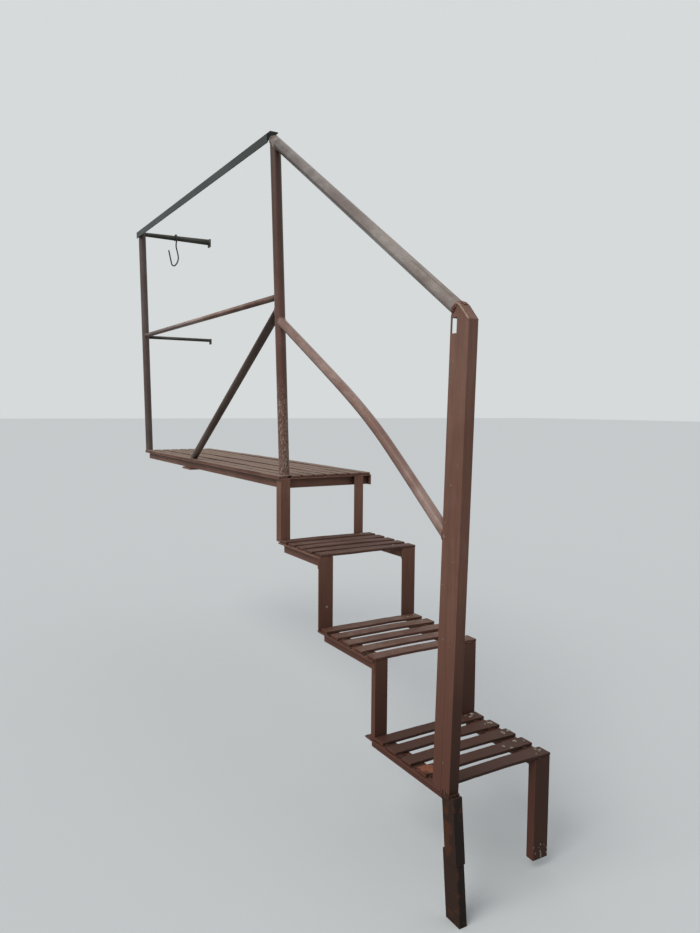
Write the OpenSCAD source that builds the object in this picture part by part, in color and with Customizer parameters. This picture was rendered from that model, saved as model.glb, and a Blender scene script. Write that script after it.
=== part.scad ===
// Small steel wall stair: a slatted landing, three slatted steps and a pipe rail.
// Millimetres. X runs down the stair, the wall face is Y = 0 and the street is towards -Y.

/* [Landing] */
// Length of the landing along the wall
landing_length = 1424; // [1000:1:2400]
// Depth of the stair from the wall face to the street edge
stair_depth = 310; // [260:1:600]
// Number of slats on the landing
landing_slats = 8; // [6:1:9]
// Width of a landing slat
landing_slat_w = 30; // [20:1:36]
// Distance of the cross bar's middle from the landing's near end
cross_bar_x = 844; // [300:1:900]
// Width of the cross bar
cross_bar_w = 90; // [30:1:120]
// Thickness of the cross bar
cross_bar_t = 5; // [4:1:10]

/* [Steps] */
// Height of the first rise, down from the landing
rise_1 = 185; // [140:1:230]
// Height of the second rise
rise_2 = 194; // [140:1:230]
// Height of the third rise
rise_3 = 187; // [140:1:230]
// Going of the top step
going_1 = 245; // [200:1:320]
// Going of the middle step
going_2 = 267; // [200:1:320]
// Going of the bottom step
going_3 = 258; // [200:1:320]
// Number of slats on each step
step_slats = 5; // [3:1:5]
// Width of a step slat
step_slat_w = 35; // [20:1:38]
// Thickness of every slat
slat_t = 7; // [4:0.5:10]
// Distance of the steps' slats from the street edge of their bars
slat_inset = 5; // [0:1:10]
// Gap between the wall face and the ends of the slats
slat_gap = 4; // [2:1:20]
// Gap between the wall face and the inner bars of the steps
bar_gap = 6; // [4:1:20]
// How far the steps' bars run back under their risers
bar_tail = 5; // [4:1:15]
// How far the bottom step's outer bar runs back
long_tail = 33; // [16:1:40]

/* [Steel sections] */
// Thickness of the T bars and of the angles
steel_t = 4; // [3:0.5:6]
// Flange width of the T bars
tee_w = 42; // [34:1:50]
// Depth of the T bars
tee_d = 31; // [22:1:50]
// Leg of the angles at the landing's risers
riser_leg_w = 30; // [20:1:34]
// Distance of the outer angle risers from the street edge
riser_inset = 6; // [0:1:8]
// Gap between the wall face and the landing's inner riser
inner_riser_gap = 28; // [10:1:34]
// Face of the last outer riser's angle, across the stair
last_riser_w = 34; // [24:1:34]
// Side leg of the last outer riser's angle
last_riser_leg = 17; // [12:1:30]
// Leg of the angle under the landing's wall edge
wall_leg_w = 35; // [25:1:50]
// Side leg of the inner foot's angle
foot_leg_w = 22; // [16:1:50]

/* [Legs] */
// Depth of the inner foot below the bottom step
inner_leg_drop = 240; // [150:1:600]
// Depth of the outer foot below the bottom step
outer_leg_drop = 264; // [200:1:600]
// Depth of the upper length of the outer leg below the bottom step
outer_leg_joint = 144; // [100:1:170]
// How far the lower length of the outer leg runs up inside the upper one
leg_lap = 20; // [20:1:60]
// Step of the outer leg out from the end of the step's bar
outer_leg_x = 4; // [0:1:12]
// Street side of the outer leg's upper angle
outer_leg_w = 36; // [30:1:60]
// Street side of the outer leg's lower angle
lower_leg_w = 43; // [30:1:60]
// End side of the outer leg's angle
outer_leg_d = 23; // [18:1:40]
// Lean of the outer leg, out at the foot, in degrees
outer_leg_lean = 6; // [0:0.5:9]

/* [Railing] */
// Top of the railing above the landing
rail_height = 960; // [900:1:1200]
// Diameter of the posts and the handrail
post_d = 30; // [26:0.5:40]
// Wall of the posts and the handrail
post_wall = 2.5; // [1.5:0.1:4]
// Distance of the corner post's foot from the street edge
corner_inset = 9; // [0:1:20]
// Lean of the corner post's top towards the far end
corner_lean_x = 18; // [0:1:30]
// Lean of the corner post's top towards the street
corner_lean_y = 20; // [0:1:30]
// Lean of the far post's top away from the corner post
far_lean_x = 12; // [0:1:30]
// Lean of the far post's top towards the street
far_lean_y = 16; // [0:1:30]
// Leg of the top rail's angle
top_rail_leg = 25; // [22:1:32]
// Thickness of the top rail's angle
top_rail_t = 3; // [2:0.5:5]
// How far the top rail runs past the far post's axis
top_rail_end = 24; // [18:1:60]
// How far the top rail's flat leg runs past the corner post's axis
top_rail_over = 6; // [0:1:15]
// Height of the middle rail above the landing
mid_rail_z = 509; // [505:1:700]
// Diameter of the middle rail
mid_rail_d = 18; // [12:0.5:24]
// Wall of the middle rail, the brace and the lower sloped rail
thin_wall = 2; // [1:0.1:3]
// Diameter of the brace and of the lower sloped rail
brace_d = 25; // [16:0.5:26]
// Height of the brace's axis on the corner post
brace_z = 476; // [300:1:480]
// Distance of the brace's foot from the landing's near end
brace_foot_x = 798; // [300:1:900]
// Depth of the handrail's axis below the railing's top, at the corner post
hand_drop = 24; // [23:1:200]
// Height of the lower sloped rail's axis on the corner post
lower_rail_z = 442; // [300:1:600]
// Height of the lower sloped rail's axis on the newel, above the bottom step
lower_rail_foot = 497; // [300:1:700]
// Where the lower sloped rail is bent, as a part of its length
knee_at = 0.6; // [0.3:0.01:0.7]
// Height of that bend above the straight line
knee_rise = 49; // [5:1:60]
// How much thicker that rail is at its bend
knee_swell = 0.8; // [0.4:0.1:2]

/* [Newel] */
// Width of each of the newel's two tubes along the stair
newel_w = 27.5; // [20:0.5:40]
// Depth of the newel's tubes across the stair
newel_d = 24; // [24:1:36]
// Wall of the newel's tubes
newel_wall = 2; // [1.5:0.1:3]
// Height of the handrail's axis on the newel, above the bottom step
newel_height = 949; // [800:1:1200]
// Lean of the newel's top down the stair
newel_lean_x = 18; // [0:1:30]
// Lean of the newel's top towards the wall
newel_lean_y = 12; // [0:1:30]
// Thickness of the newel's cap
cap_t = 3; // [2:0.5:6]
// Slope of the cap over the tube at the stair's end, in degrees
cap_slope = 46; // [36:1:60]
// Height of the slots in the newel's corner
slot_h = 30; // [15:1:60]
// Width of those slots
slot_w = 15; // [6:1:16]
// Width of the strip left at the corner between them
slot_edge = 4; // [3:1:6]
// Depth of the slots' tops below the handrail's axis
slot_drop = 6; // [4:1:80]

/* [Wall bars] */
// Depth of the upper wall bar's axis below the railing's top
upper_bar_drop = 9; // [9:1:60]
// Diameter of the upper wall bar at the post
upper_bar_d = 17; // [12:0.5:24]
// Diameter of the upper wall bar at the wall
upper_bar_root_d = 26; // [12:0.5:30]
// Diameter of the lower wall bar
lower_bar_d = 14; // [8:0.5:24]
// Height of the lower wall bar above the landing
lower_bar_z = 503; // [300:1:700]
// Width of the upper lug on the wall
upper_lug_w = 30; // [26:1:40]
// Width of the lower lug on the wall
lower_lug_w = 20; // [14:1:40]
// Thickness of the lugs on the wall
lug_t = 5; // [3:0.5:10]
// Reach of the upper lug below its bar's axis
upper_lug_drop = 22; // [14:1:60]
// Reach of the lower lug below its bar's axis
lower_lug_drop = 18; // [12:1:60]

/* [Hook] */
// Diameter of the hook's wire
hook_d = 6; // [4:0.5:8]
// How much thicker the wire is at its bends
hook_knuckle = 0.6; // [0.2:0.1:1]
// Clearance between the hook and the bar that it hangs on
hook_play = 1.5; // [1:0.1:4]
// Distance of the hook's shank from the wall face
hook_y = 160; // [60:1:200]
// Height of the hook's neck, from its eye down
hook_neck = 18; // [12:1:30]
// Lean of the hook's shank towards the wall, in degrees
hook_lean = 14; // [0:1:20]
// Length of the hook's shank
hook_shank = 40; // [20:1:80]
// Radius of the wide bend below the shank
wide_bend_r = 50; // [30:1:80]
// Sweep of the wide bend, in degrees
wide_sweep = 59; // [30:1:70]
// Radius of the bow at the hook's lowest place
hook_bow_r = 10; // [8:1:20]
// Sweep of the bow, in degrees
bow_sweep = 123; // [90:1:130]
// Length of the hook's straight tip
hook_tip = 60; // [20:1:70]

/* [Hidden] */
$fn = 48;

frame_paint = [0.42, 0.25, 0.22];
slat_paint = [0.47, 0.37, 0.34];
pipe_paint = [0.45, 0.32, 0.30];
dark_paint = [0.27, 0.28, 0.26];
bare_rust = [0.38, 0.22, 0.13];

// Far larger than the stair, for cutting everything on one side of a plane
big = 6000;
// Far more than a bar is thick, so that a cut passes right through it
through = 60;

// Levels of the slats' tops from the landing down, and the nosing of each one
levels = [0, -rise_1, -rise_1 - rise_2, -rise_1 - rise_2 - rise_3];
nosings = [0, going_1, going_1 + going_2, going_1 + going_2 + going_3];
front = nosings[3];
street = -stair_depth;

// The wall angle's face is the face that the stair hangs by: its centre is the origin
origin_shift = [landing_length / 2, 0, slat_t + tee_d / 2];

// Top of the bars, under the slats, at level i
function seat(i) = levels[i] - slat_t;
function on_line(a, b, t) = a + (b - a) * t;
function at_height(a, b, z) = on_line(a, b, (z - a.z) / (b.z - a.z));

corner_foot = [-post_d / 2, street + corner_inset + post_d / 2, 0];
post_top = rail_height - top_rail_t;
corner_top = corner_foot + [-corner_lean_x, -corner_lean_y, post_top];
far_foot = [post_d / 2 - landing_length, street + post_d / 2, 0];
far_top = far_foot + [-far_lean_x, -far_lean_y, post_top];

newel_foot = [front, street + newel_d / 2, seat(3)];
newel_axis = [newel_lean_x, newel_lean_y, newel_height];
newel_turn = [-atan(newel_lean_y / newel_height), atan(newel_lean_x / newel_height), 0];
newel_top = newel_foot + newel_axis;

hand_start = at_height(corner_foot, corner_top, rail_height - hand_drop);
hand_run = newel_top - hand_start;
hand_turn = [0, acos(hand_run.z / norm(hand_run)), atan2(hand_run.y, hand_run.x)];

// Slope of the handrail against the newel, where its square-cut end meets the newel's side
rail_slope = hand_turn.y - 90 - newel_turn.y;
end_gap = (newel_w - post_d / 2 * sin(rail_slope)) / cos(rail_slope);
hand_end = newel_top - hand_run / norm(hand_run) * end_gap;
// Height of the cap's ridge along the newel, in line with the handrail's top
cap_peak = norm(newel_axis) + post_d / 2 / cos(rail_slope);

lower_rail_top = at_height(corner_foot, corner_top, lower_rail_z);
lower_rail_end = newel_foot + newel_axis * (lower_rail_foot / newel_height);
lower_rail_knee = on_line(lower_rail_top, lower_rail_end, knee_at) + [0, 0, knee_rise];

// The upper wall bar narrows evenly from the wall to the post
upper_bar_z = rail_height - upper_bar_drop;
upper_bar_post = at_height(far_foot, far_top, upper_bar_z);
bar_part = (hook_y - lug_t) / (-upper_bar_post.y - lug_t);
bar_d_at_hook = upper_bar_root_d + (upper_bar_d - upper_bar_root_d) * bar_part;
hook_eye_r = bar_d_at_hook / 2 + hook_play + hook_d / 2;
// How far the wire of the hook's eye goes round the bar
eye_sweep = 215;
// Number of short lengths in each of the hook's bends
wide_lengths = 4;
bow_lengths = 6;
// Turn of the leaning posts about their own axes, so that no facet edge lies along a cut
post_turn = 37;

module in_place(shade) {
    color(shade) translate(origin_shift) children();
}

// A flat outline swept along X, with its own x as Y and its own y as Z
module along_x(x0, x1) {
    translate([x0, 0, 0])
        rotate([90, 0, 90])
            linear_extrude(x1 - x0) children();
}

// A flat outline swept along Y, with its own x as X and its own y as Z
module along_y(y0, y1) {
    translate([0, y1, 0])
        rotate([90, 0, 0])
            linear_extrude(y1 - y0) children();
}

module along_z(z0, z1) {
    translate([0, 0, z0])
        linear_extrude(z1 - z0) children();
}

// A round bar from point a to point b, turned about its own axis
module rod(a, b, d, turn = 0) {
    v = b - a;
    translate(a)
        rotate([0, acos(v.z / norm(v)), atan2(v.y, v.x)])
            rotate([0, 0, turn]) cylinder(h = norm(v), d = d);
}

module pipe(a, b, d, wall) {
    v = (b - a) / norm(b - a);
    difference() {
        rod(a, b, d);
        rod(a - v, b + v, d - 2 * wall);
    }
}

module below(z) {
    translate([-big / 2, -big / 2, z - big]) cube(big);
}

module above(z) {
    translate([-big / 2, -big / 2, z]) cube(big);
}

// T section: its flange lies on top and its top left corner is the origin
module tee_flange() {
    translate([0, -steel_t]) square([tee_w, steel_t]);
}

module tee_web() {
    translate([(tee_w - steel_t) / 2, -tee_d]) square([steel_t, tee_d - steel_t]);
}

// Angle section with its outer corner at the origin
module angle(a, b) {
    square([a, steel_t]);
    square([steel_t, b]);
}

// Landing frame: the street side is a T bar, whose web stops at the corner angle
module landing_outer_bar() {
    in_place(frame_paint)
        translate([0, street, seat(0)]) {
            along_x(-landing_length, 0) tee_flange();
            along_x(-landing_length, -steel_t) tee_web();
        }
}

// The upright leg lies flat on the wall
module landing_wall_angle() {
    in_place(frame_paint)
        translate([0, 0, seat(0)])
            along_x(-landing_length, 0) {
                translate([-wall_leg_w, -steel_t]) square([wall_leg_w, steel_t]);
                translate([-steel_t, -tee_d]) square([steel_t, tee_d]);
            }
}

// An end bar butts between the flanges, and its web runs on to the webs beneath them
module landing_end_bar(x) {
    in_place(frame_paint)
        translate([x, 0, seat(0)]) {
            along_y(street + tee_w, -wall_leg_w) tee_flange();
            along_y(street + (tee_w + steel_t) / 2, -steel_t) tee_web();
        }
}

module landing_near_bar() {
    landing_end_bar(-tee_w);
}

module landing_far_bar() {
    landing_end_bar(-landing_length);
}

module landing_cross_bar() {
    in_place(frame_paint)
        translate([-cross_bar_x - cross_bar_w / 2, street, seat(0) - tee_d - cross_bar_t])
            cube([cross_bar_w, stair_depth, cross_bar_t]);
}

module landing_slats() {
    pitch = (stair_depth - slat_gap - landing_slat_w) / (landing_slats - 1);
    in_place(slat_paint)
        for (i = [0 : landing_slats - 1])
            translate([-landing_length, street + i * pitch, seat(0)])
                cube([landing_length, landing_slat_w, slat_t]);
}

// Upright of angle section: its face is at x, and its side leg runs back at its street edge
module upright_angle(x, y0, w, leg, foot, head, side_head) {
    in_place(frame_paint)
        translate([x, y0, 0]) {
            along_z(foot, head) translate([-steel_t, 0]) square([steel_t, w]);
            along_z(foot, side_head) translate([-leg, 0]) square([leg - steel_t, steel_t]);
        }
}

// The landing's risers are angles under its flanges, and stand on the top step's bars
module riser_a_outer() {
    head = seat(0) - steel_t;
    upright_angle(0, street + riser_inset, riser_leg_w, riser_leg_w, seat(1), head, head);
}

// The inner one has its side leg at the wall, where it stops under the end bar's web
module riser_a_inner() {
    in_place(frame_paint)
        translate([0, -inner_riser_gap, 0]) {
            along_z(seat(1), seat(0) - steel_t)
                translate([-steel_t, -riser_leg_w]) square([steel_t, riser_leg_w]);
            along_z(seat(1), seat(0) - tee_d)
                translate([-riser_leg_w, -steel_t]) square([riser_leg_w - steel_t, steel_t]);
        }
}

// Three of the other risers are T bars with the flange to the front; y0 is their street edge
module riser(i, y0) {
    in_place(frame_paint)
        translate([nosings[i], y0, 0]) {
            along_z(seat(i + 1), seat(i))
                translate([-steel_t, 0]) square([steel_t, tee_w]);
            along_z(seat(i + 1), seat(i) - tee_d)
                translate([-tee_d, (tee_w - steel_t) / 2]) square([tee_d - steel_t, steel_t]);
        }
}

inner_bar_y = -bar_gap - tee_w;

module riser_b_outer() {
    riser(1, street);
}

module riser_b_inner() {
    riser(1, inner_bar_y);
}

module riser_c_outer() {
    upright_angle(nosings[2], street + riser_inset, last_riser_w, last_riser_leg,
                  seat(3), seat(2), seat(2) - steel_t);
}

module riser_c_inner() {
    riser(2, inner_bar_y);
}

// Bar of step i, from a tail behind its riser to x1
module step_bar(i, y0, tail, x1) {
    in_place(frame_paint)
        translate([0, y0, seat(i)])
            along_x(nosings[i - 1] - tail, x1) {
                tee_flange();
                tee_web();
            }
}

// The slats lie across both bars; the last one starts cut_back from the street edge
module slats_of_step(i, cut_back) {
    pitch = (nosings[i] - nosings[i - 1] - step_slat_w) / (step_slats - 1);
    in_place(slat_paint)
        for (k = [0 : step_slats - 1]) {
            start = k == step_slats - 1 ? cut_back : slat_inset;
            translate([nosings[i - 1] + k * pitch, street + start, seat(i)])
                cube([step_slat_w, stair_depth - slat_gap - start, slat_t]);
        }
}

module step_1_outer_bar() {
    step_bar(1, street, bar_tail, nosings[1] - steel_t);
}

module step_1_inner_bar() {
    step_bar(1, inner_bar_y, bar_tail, nosings[1] - steel_t);
}

module step_1_slats() {
    slats_of_step(1, slat_inset);
}

module step_2_outer_bar() {
    step_bar(2, street, bar_tail, nosings[2] - steel_t);
}

module step_2_inner_bar() {
    step_bar(2, inner_bar_y, bar_tail, nosings[2] - steel_t);
}

module step_2_slats() {
    slats_of_step(2, slat_inset);
}

module step_3_outer_bar() {
    step_bar(3, street, long_tail, front);
}

module step_3_inner_bar() {
    step_bar(3, inner_bar_y, bar_tail, front - steel_t);
}

// The last slat stops behind the newel
module step_3_slats() {
    slats_of_step(3, newel_d + steel_t);
}

// Legs: the inner one is an angle at the end of the bottom step's inner bar
module inner_leg() {
    upright_angle(front, inner_bar_y, tee_w, foot_leg_w,
                  levels[3] - inner_leg_drop, seat(3), seat(3) - steel_t);
}

// The outer leg is two angles, one inside the other; z counts along them from the newel's foot
module outer_leg_angle(inset, w, z0, z1) {
    translate([front + outer_leg_x, street, seat(3)])
        rotate([0, -outer_leg_lean, 0])
            along_z(z0, z1)
                translate([outer_leg_w - inset, inset])
                    mirror([1, 0]) angle(w, outer_leg_d - inset);
}

module outer_leg_upper() {
    in_place(bare_rust)
        difference() {
            outer_leg_angle(0, outer_leg_w, slat_t - outer_leg_joint, through);
            above(seat(3));
        }
}

module outer_leg_lower() {
    in_place(bare_rust)
        difference() {
            outer_leg_angle(steel_t, lower_leg_w, -outer_leg_drop, slat_t - outer_leg_joint + leg_lap);
            below(levels[3] - outer_leg_drop);
        }
}

// Newel: two tubes side by side that lean as one and end along the handrail's top

// Places its children at the newel's foot, with Z up along the newel
module on_newel() {
    translate(newel_foot) rotate(newel_turn) children();
}

// Everything beyond the plane that stands x0 along the stair from the newel's seam
module past_newel(x0) {
    on_newel() translate([x0, -big / 2, -big / 2]) cube(big);
}

module newel_block(x0) {
    on_newel()
        translate([x0, -newel_d / 2, -through])
            cube([newel_w, newel_d, norm(newel_axis) + 2 * through]);
}

// Everything more than z above the cap's top, on the side of the ridge that falls at a slope
module past_cap(slope, z) {
    on_newel()
        translate([0, 0, cap_peak])
            rotate([0, slope, 0]) translate([-big / 2, -big / 2, z]) cube(big);
}

// The corner of the newel that the handrail's square-cut end takes up
module behind_rail_end() {
    translate(hand_end) rotate(hand_turn) translate([-big / 2, -big / 2, -big]) cube(big);
}

module newel_tube(x0, slope) {
    difference() {
        newel_block(x0);
        on_newel()
            translate([x0 + newel_wall, newel_wall - newel_d / 2, -2 * through])
                cube([newel_w - 2 * newel_wall, newel_d - 2 * newel_wall, norm(newel_axis) + 4 * through]);
        past_cap(slope, -cap_t);
        below(seat(3));
    }
}

// One slot faces the street and one faces the landing, with a strip between them
module newel_slots() {
    on_newel()
        translate([-newel_w, -newel_d / 2, norm(newel_axis) - slot_drop - slot_h]) {
            translate([slot_edge, -through, 0]) cube([slot_w, through + newel_wall + 1, slot_h]);
            translate([-through, slot_edge, 0]) cube([through + newel_wall + 1, slot_w, slot_h]);
        }
}

module newel_short_tube() {
    in_place(frame_paint)
        difference() {
            newel_tube(-newel_w, rail_slope);
            behind_rail_end();
            newel_slots();
        }
}

module newel_long_tube() {
    in_place(frame_paint) newel_tube(0, cap_slope);
}

module cap_half(x0, slope) {
    difference() {
        newel_block(x0);
        past_cap(slope, 0);
        past_cap(slope, -cap_t - big);
    }
}

// The cap goes on along the handrail's top over one tube, and falls more steeply over the other
module newel_cap() {
    in_place(frame_paint)
        difference() {
            union() {
                cap_half(-newel_w, rail_slope);
                cap_half(0, cap_slope);
            }
            behind_rail_end();
        }
}

// Railing

// A leaning post without its bore, somewhat too long at both ends
module post_solid(foot, top) {
    rod(on_line(foot, top, -0.02), on_line(foot, top, 1.02), post_d, post_turn);
}

module post(foot, top) {
    difference() {
        post_solid(foot, top);
        rod(on_line(foot, top, -0.1), on_line(foot, top, 1.1), post_d - 2 * post_wall, post_turn);
        below(0);
        above(post_top);
    }
}

module corner_post() {
    in_place(pipe_paint) post(corner_foot, corner_top);
}

module far_post() {
    in_place(pipe_paint) post(far_foot, far_top);
}

// One leg lies on the posts, and the other hangs down their street side to the corner post
module top_rail() {
    start = far_top - [top_rail_end, 0, 0];
    run = corner_top - start;
    in_place(dark_paint)
        translate(start)
            rotate([0, 0, atan2(run.y, run.x)])
                translate([0, -post_d / 2 - top_rail_t, 0]) {
                    along_x(0, norm(run) + top_rail_over) square([top_rail_leg, top_rail_t]);
                    along_x(0, norm(run) - post_d / 2)
                        translate([0, top_rail_t - top_rail_leg])
                            square([top_rail_t, top_rail_leg - top_rail_t]);
                }
}

// The ends of the rails and bars are cut to the round of the posts
module mid_rail() {
    in_place(pipe_paint)
        difference() {
            pipe(at_height(far_foot, far_top, mid_rail_z), at_height(corner_foot, corner_top, mid_rail_z),
                 mid_rail_d, thin_wall);
            post_solid(far_foot, far_top);
            post_solid(corner_foot, corner_top);
        }
}

module brace() {
    foot = [-brace_foot_x, street + post_d / 2, 0];
    head = at_height(corner_foot, corner_top, brace_z);
    in_place(pipe_paint)
        difference() {
            pipe(on_line(foot, head, -0.1), head, brace_d, thin_wall);
            post_solid(corner_foot, corner_top);
            below(0);
        }
}

module handrail() {
    in_place(pipe_paint)
        difference() {
            pipe(hand_start, hand_end, post_d, post_wall);
            post_solid(corner_foot, corner_top);
        }
}

// The bend swells a little more than the straight lengths that meet in it
module bent_bar(d) {
    rod(lower_rail_top, lower_rail_knee, d);
    translate(lower_rail_knee) sphere(d = d + knee_swell);
    rod(lower_rail_knee, lower_rail_end, d);
}

// This rail has been bent upwards
module lower_rail() {
    in_place(pipe_paint)
        difference() {
            bent_bar(brace_d);
            bent_bar(brace_d - 2 * thin_wall);
            post_solid(corner_foot, corner_top);
            past_newel(-newel_w);
        }
}

// Wall bars: round bars from the far post to lugs on the wall
module wall_bar(z, d, root_d) {
    post = at_height(far_foot, far_top, z);
    in_place(dark_paint)
        difference() {
            translate([post.x, -lug_t, z])
                rotate([90, 0, 0]) cylinder(h = -lug_t - post.y, d1 = root_d, d2 = d);
            post_solid(far_foot, far_top);
        }
}

module wall_lug(z, d, w, drop) {
    in_place(dark_paint)
        translate([at_height(far_foot, far_top, z).x - w / 2, -lug_t, z - drop])
            cube([w, lug_t, drop + d / 2]);
}

module upper_wall_bar() {
    wall_bar(upper_bar_z, upper_bar_d, upper_bar_root_d);
}

module lower_wall_bar() {
    wall_bar(lower_bar_z, lower_bar_d, lower_bar_d);
}

module upper_wall_lug() {
    wall_lug(upper_bar_z, upper_bar_root_d, upper_lug_w, upper_lug_drop);
}

module lower_wall_lug() {
    wall_lug(lower_bar_z, lower_bar_d, lower_lug_w, lower_lug_drop);
}

// Hook: bent wire with an eye over the bar, a leaning shank and a bow that opens to the street

// The wire is a little thicker at its bends
module knuckle() {
    sphere(d = hook_d + hook_knuckle);
}

// A straight length of wire along X, and what follows at its end
module wire(length) {
    rotate([0, 90, 0]) cylinder(h = length, d = hook_d);
    translate([length, 0, 0]) children();
}

// Wire that turns left in the XY plane by count short lengths, and what follows at its end
module wire_bend(r, turn, count) {
    knuckle();
    if (count == 0)
        children();
    else
        rotate([0, 0, turn / 2])
            wire(2 * r * sin(turn / 2))
                rotate([0, 0, turn / 2]) wire_bend(r, turn, count - 1) children();
}

module hook() {
    $fn = 24;
    eye_foot = [hook_eye_r, 0, -hook_d];
    neck = [0, 0, -hook_eye_r - hook_neck];
    in_place(dark_paint)
        translate([upper_bar_post.x, -hook_y, upper_bar_z]) {
            rotate([90, 0, 0])
                rotate_extrude(angle = eye_sweep) translate([hook_eye_r, 0]) circle(d = hook_d);
            rod([hook_eye_r, 0, 0], eye_foot, hook_d);
            translate(eye_foot) knuckle();
            rod(eye_foot, neck, hook_d);
            translate(neck) knuckle();
            translate(neck)
                rotate([180, 90, 0])
                    rotate([0, 0, -hook_lean])
                        wire(hook_shank)
                            wire_bend(wide_bend_r, wide_sweep / wide_lengths, wide_lengths)
                                wire_bend(hook_bow_r, bow_sweep / bow_lengths, bow_lengths)
                                    wire(hook_tip);
        }
}

landing_outer_bar();
landing_wall_angle();
landing_near_bar();
landing_far_bar();
landing_cross_bar();
landing_slats();
riser_a_outer();
riser_a_inner();
riser_b_outer();
riser_b_inner();
riser_c_outer();
riser_c_inner();
step_1_outer_bar();
step_1_inner_bar();
step_1_slats();
step_2_outer_bar();
step_2_inner_bar();
step_2_slats();
step_3_outer_bar();
step_3_inner_bar();
step_3_slats();
outer_leg_upper();
outer_leg_lower();
inner_leg();
corner_post();
far_post();
top_rail();
mid_rail();
brace();
handrail();
lower_rail();
newel_short_tube();
newel_long_tube();
newel_cap();
upper_wall_bar();
lower_wall_bar();
upper_wall_lug();
lower_wall_lug();
hook();
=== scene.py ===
# A small steel stair along a wall: slatted landing, three slatted steps and a pipe railing.
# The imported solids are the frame; this script gives them their paint, rust and welds.
import math
import random

import bmesh
import bpy
from mathutils import Euler, Matrix, Vector, noise


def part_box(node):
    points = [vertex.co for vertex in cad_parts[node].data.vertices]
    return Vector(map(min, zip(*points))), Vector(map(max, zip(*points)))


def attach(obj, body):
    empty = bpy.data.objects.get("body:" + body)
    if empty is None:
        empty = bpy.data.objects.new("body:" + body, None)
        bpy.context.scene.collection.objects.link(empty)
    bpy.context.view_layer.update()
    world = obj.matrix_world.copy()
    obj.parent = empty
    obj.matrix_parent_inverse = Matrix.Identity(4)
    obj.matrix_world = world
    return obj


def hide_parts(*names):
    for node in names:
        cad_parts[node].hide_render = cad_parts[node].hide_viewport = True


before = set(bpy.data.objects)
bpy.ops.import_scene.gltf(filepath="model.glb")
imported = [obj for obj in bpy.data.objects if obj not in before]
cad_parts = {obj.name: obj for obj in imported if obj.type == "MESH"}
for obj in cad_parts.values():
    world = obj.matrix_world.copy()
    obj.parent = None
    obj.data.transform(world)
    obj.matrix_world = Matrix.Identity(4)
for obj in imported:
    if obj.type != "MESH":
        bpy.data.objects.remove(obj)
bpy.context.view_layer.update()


# Camera: about a metre beyond the foot of the stair, a metre above it and 1.2 metres out from
# the wall, as the stair's own edges give it, looking along the steps to the landing.
def placed(name, data):
    """A new object in the scene."""
    made = bpy.data.objects.new(name, data)
    bpy.context.scene.collection.objects.link(made)
    return made


film, focal_pixels, picture_pixels = 36, 738.8, 933
camera_data = bpy.data.cameras.new("camera")
camera_data.sensor_width = film
camera_data.lens = focal_pixels / picture_pixels * film
camera_data.clip_start, camera_data.clip_end = 0.02, 200
camera = placed("camera", camera_data)
turn, tilt, roll = math.radians(59.58), math.radians(4.55), math.radians(0.415)
level = math.cos(tilt)
ahead = Vector((-math.sin(turn) * level, math.cos(turn) * level, -math.sin(tilt)))
camera.rotation_mode = "QUATERNION"
camera.rotation_quaternion = ahead.to_track_quat("-Z", "Y") @ Euler((0, 0, roll)).to_quaternion()
camera.location = Vector((2.6244, -1.198, 0.2186))
bpy.context.scene.camera = camera
bpy.context.scene.view_settings.view_transform = "Standard"


# Floor and light: a plain pale floor at the outer foot, one broad soft lamp from the street
# side, and an even pale sky. Shader sums are written with the small class below.
class Value:
    """A node's output that can be used in plain sums."""

    def __init__(self, finish, socket):
        self.finish, self.socket = finish, socket

    def sum(self, operation, first, second):
        return self.finish.node("ShaderNodeMath", {"operation": operation}, {0: first, 1: second})

    def __add__(self, other):
        return self.sum("ADD", self, other)

    def __radd__(self, other):
        return self.sum("ADD", other, self)

    def __sub__(self, other):
        return self.sum("SUBTRACT", self, other)

    def __rsub__(self, other):
        return self.sum("SUBTRACT", other, self)

    def __mul__(self, other):
        return self.sum("MULTIPLY", self, other)

    def __rmul__(self, other):
        return self.sum("MULTIPLY", other, self)


class Finish:
    """A material, or the world, whose nodes are made one call at a time."""

    def __init__(self, name, holder=None):
        self.holder = holder or bpy.data.materials.new(name)
        self.holder.use_nodes = True
        self.tree = self.holder.node_tree
        self.tree.nodes.clear()

    def node(self, kind, settings, sockets, output=0):
        """One node, with its settings first and then the values or links of its sockets."""
        made = self.tree.nodes.new(kind)
        for key, value in settings.items():
            setattr(made, key, value)
        for key, value in sockets.items():
            if isinstance(value, Value):
                self.tree.links.new(value.socket, made.inputs[key])
            else:
                made.inputs[key].default_value = value
        return Value(self, made.outputs[output]) if len(made.outputs) else made

    def mixed(self, share, first, second):
        """The first colour, with a share of the second laid over it."""
        settings = {"data_type": "RGBA", "blend_type": "MIX"}
        return self.node("ShaderNodeMix", settings, {0: share, 6: first, 7: second}, 2)

    def rising(self, value, low, high):
        """0 below low and 1 above high, with a soft step between."""
        settings = {"interpolation_type": "SMOOTHSTEP"}
        return self.node("ShaderNodeMapRange", settings, {0: value, 1: low, 2: high})

    def part(self, vector, axis):
        """One of the three numbers of a vector."""
        return self.node("ShaderNodeSeparateXYZ", {}, {0: vector}, axis)

    def of_vectors(self, operation, first, second, output=0):
        """What Vector Math makes of two vectors."""
        settings = {"operation": operation}
        return self.node("ShaderNodeVectorMath", settings, {0: first, 1: second}, output)


def tint(*levels):
    """A colour as the screen shows it, red, green and blue from 0 to 255, for a shader."""
    shares = [level / 255 for level in levels]
    linear = [s / 12.92 if s < 0.0404 else ((s + 0.055) / 1.055) ** 2.4 for s in shares]
    return (*linear, 1)


def mesh_from(name, shapes):
    """A mesh made of a bmesh, which is then let go."""
    mesh = bpy.data.meshes.new(name)
    shapes.to_mesh(mesh)
    shapes.free()
    return mesh


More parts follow.
